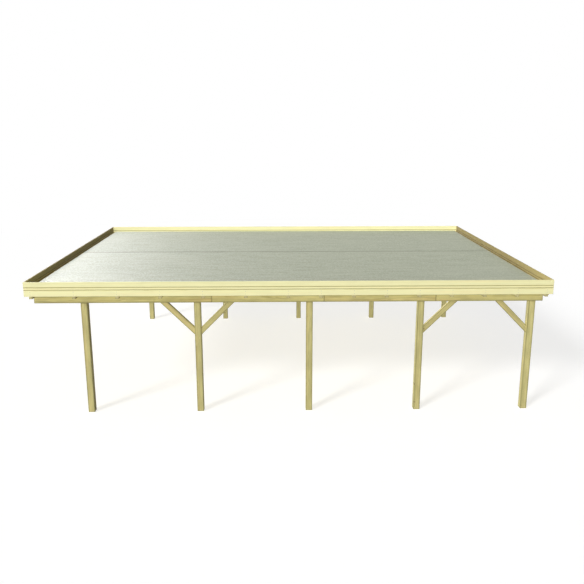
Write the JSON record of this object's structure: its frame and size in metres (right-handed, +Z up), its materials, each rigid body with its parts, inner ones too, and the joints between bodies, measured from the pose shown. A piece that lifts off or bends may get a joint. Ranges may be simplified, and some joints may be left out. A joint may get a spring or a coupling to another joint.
{
  "type": "flat-roofed timber carport",
  "caption": "Open timber carport: two rows of square posts with corner braces carry purlins, rafters and a flat felted roof behind a grooved fascia.",
  "frame": {"origin": "on the ground, under the middle of the roof's outline", "axes": "+X along the long side, +Z up, -Y towards the front row of posts"},
  "size_m": [9.42, 6.77, 2.565],
  "materials": {
    "post_wood": "rough sawn, pressure treated",
    "purlin_wood": "planed, pressure treated",
    "rafter_wood": "rough sawn, pressure treated",
    "brace_wood": "planed, pressure treated",
    "fascia_wood": "planed, pressure treated",
    "batten_wood": "planed, pressure treated",
    "deck_wood": "planed tongue and groove boards",
    "roof_felt": "mineral granules, matt"
  },
  "bodies": {
    "root": {"post_front_1": "post_wood", "post_front_2": "post_wood", "post_front_3": "post_wood", "post_front_4": "post_wood", "post_front_5": "post_wood", "post_rear_1": "post_wood", "post_rear_2": "post_wood", "post_rear_3": "post_wood", "post_rear_4": "post_wood", "post_rear_5": "post_wood", "purlin_front_1": "purlin_wood", "purlin_front_2": "purlin_wood", "purlin_front_3": "purlin_wood", "purlin_front_4": "purlin_wood", "purlin_rear_1": "purlin_wood", "purlin_rear_2": "purlin_wood", "purlin_rear_3": "purlin_wood", "purlin_rear_4": "purlin_wood", "braces_front": "brace_wood", "braces_rear": "brace_wood", "rafter_1": "rafter_wood", "rafter_2": "rafter_wood", "rafter_3": "rafter_wood", "rafter_4": "rafter_wood", "rafter_5": "rafter_wood", "rafter_6": "rafter_wood", "rafter_7": "rafter_wood", "rafter_8": "rafter_wood", "rafter_9": "rafter_wood", "rafter_10": "rafter_wood", "rafter_11": "rafter_wood", "rafter_12": "rafter_wood", "rafter_13": "rafter_wood", "rafter_14": "rafter_wood", "rafter_15": "rafter_wood", "fascia_front": "fascia_wood", "fascia_rear": "fascia_wood", "fascia_left": "fascia_wood", "fascia_right": "fascia_wood", "battens_left": "batten_wood", "battens_right": "batten_wood", "roof_deck": "deck_wood", "felt_front": "roof_felt", "felt_rear": "roof_felt"}
  },
  "joints": []
}
